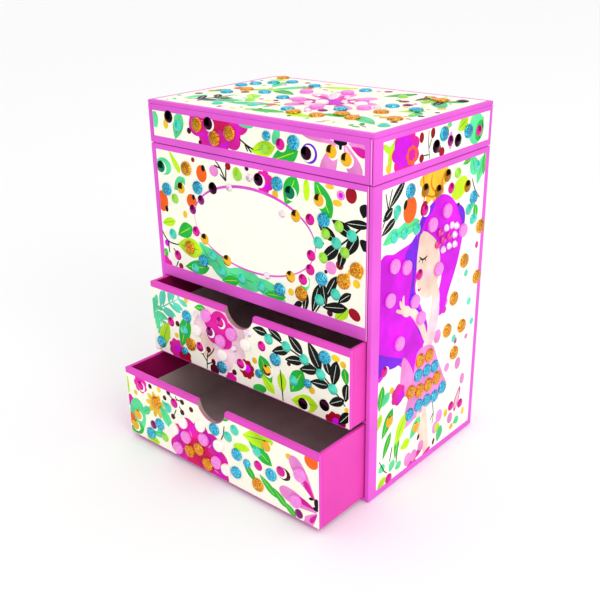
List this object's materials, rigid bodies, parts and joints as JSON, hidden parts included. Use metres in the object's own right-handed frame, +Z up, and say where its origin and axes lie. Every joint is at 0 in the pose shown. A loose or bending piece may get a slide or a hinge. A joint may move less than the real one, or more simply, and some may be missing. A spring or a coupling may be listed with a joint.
{
  "type": "musical jewellery box",
  "caption": "Upright craft jewellery box: hinged lid, pull-out drawers with finger notches, stick-on dots, ring tray and a wind-up movement that turns a dancer.",
  "frame": {"origin": "middle of the case's underside", "axes": "+Z up, the front with its drawers faces -Y, +X to the right of someone facing the front"},
  "size_m": [0.1532, 0.1527, 0.1916],
  "materials": {
    "printed_board": "printed paper wrap with a soft sheen",
    "pink_board": "wrapped in plain hot-pink paper",
    "wood_strip": "plain sawn strip",
    "velvet": "short pile",
    "hinge_cloth": "book-cloth",
    "liner_paper": "flocked grey paper",
    "mirror_glass": "silvered",
    "brass": "polished",
    "steel": "satin",
    "fly_plastic": "moulded",
    "doll_plastic": "painted",
    "tulle": "layered net",
    "stickers": "glitter, foam and mirror-foil dots"
  },
  "bodies": {
    "case": {"left_panel": "printed_board", "right_panel": "printed_board", "back_panel": "printed_board", "base_panel": "printed_board", "front_panel": "printed_board", "compartment_floor": "pink_board", "drawer_divider": "pink_board", "platform": "pink_board", "platform_cleats": "wood_strip", "tray_partition": "pink_board", "ring_rolls": "velvet", "rod_bush": "brass", "hinge_cloth_case": "hinge_cloth", "key_grommet": "brass", "front_stickers": "stickers", "right_stickers": "stickers", "left_stickers": "stickers", "movement_bedplate": "steel", "upper_bridge": "steel", "bridge_screws": "steel", "movement_screws": "steel", "comb": "steel", "comb_screws": "steel", "governor_bracket": "steel"},
    "lid": {"lid_top_board": "printed_board", "lid_front_rim": "printed_board", "lid_back_rim": "printed_board", "lid_side_rims": "printed_board", "lid_mirror": "mirror_glass", "hinge_cloth_lid": "hinge_cloth", "lid_top_stickers": "stickers", "lid_front_stickers": "stickers", "lid_side_stickers": "stickers"},
    "upper_drawer": {"upper_drawer_front": "printed_board", "upper_drawer_sides": "pink_board", "upper_drawer_back": "pink_board", "upper_drawer_floor": "pink_board", "upper_drawer_liner": "liner_paper", "upper_drawer_stickers": "stickers"},
    "lower_drawer": {"lower_drawer_front": "printed_board", "lower_drawer_sides": "pink_board", "lower_drawer_back": "pink_board", "lower_drawer_floor": "pink_board", "lower_drawer_liner": "liner_paper", "lower_drawer_stickers": "stickers"},
    "barrel_group": {"spring_barrel": "brass", "mainspring": "steel", "barrel_cover": "brass"},
    "key_group": {"winding_shaft": "steel", "winding_key": "brass"},
    "drum_group": {"drum": "brass", "drum_gears": "brass"},
    "idler_group": {"idler_wheel": "brass"},
    "governor_group": {"governor_fly": "fly_plastic", "governor_worm": "steel"},
    "dancer_group": {"ballerina_spindle": "steel", "ballerina_spring": "steel", "ballerina_figure": "doll_plastic", "ballerina_tutu": "tulle"},
    "stop_rod_group": {"stop_rod": "steel"}
  },
  "joints": [
    {"name": "lid_hinge", "type": "hinge", "parent": "case", "child": "lid", "pos_m": [0, 0.0512, 0.167], "axis": [-1, 0, 0], "range_deg": [0, 100]},
    {"name": "upper_drawer_slide", "type": "slide", "parent": "case", "child": "upper_drawer", "axis": [0, -1, 0], "range_m": [-0.0118, 0.0632]},
    {"name": "lower_drawer_slide", "type": "slide", "parent": "case", "child": "lower_drawer", "axis": [0, -1, 0], "range_m": [-0.0351, 0.0399]},
    {"name": "winding_key_turn", "type": "hinge", "parent": "case", "child": "key_group", "pos_m": [0.015, 0.058, 0.108], "axis": [0, 1, 0], "continuous": true},
    {"name": "drum_spin", "type": "hinge", "parent": "case", "child": "drum_group", "pos_m": [0.015, 0.0261, 0.108], "axis": [0, 0, 1], "continuous": true},
    {"name": "barrel_spin", "type": "hinge", "parent": "case", "child": "barrel_group", "pos_m": [0.015, 0.04, 0.108], "axis": [0, 1, 0], "continuous": true},
    {"name": "ballerina_spin", "type": "hinge", "parent": "case", "child": "dancer_group", "pos_m": [0, 0.01615, 0.122], "axis": [0, 0, 1], "continuous": true},
    {"name": "idler_spin", "type": "hinge", "parent": "case", "child": "idler_group", "pos_m": [0.0298, 0.02071, 0.118], "axis": [0, 0, 1], "continuous": true},
    {"name": "governor_spin", "type": "hinge", "parent": "case", "child": "governor_group", "pos_m": [0.0412, 0.02071, 0.1181], "axis": [0, 1, 0], "continuous": true},
    {"name": "stop_rod_lift", "type": "slide", "parent": "case", "child": "stop_rod_group", "axis": [0, 0, 1], "range_m": [0, 0.0012]}
  ],
  "couplings": [
    {"joint": "barrel_spin", "follows": "drum_spin", "ratio": 0.53333},
    {"joint": "ballerina_spin", "follows": "drum_spin", "ratio": -2},
    {"joint": "idler_spin", "follows": "drum_spin", "ratio": -3.2},
    {"joint": "governor_spin", "follows": "drum_spin", "ratio": 76.8},
    {"joint": "stop_rod_lift", "follows": "lid_hinge", "m_per_rad": 0.0006}
  ]
}
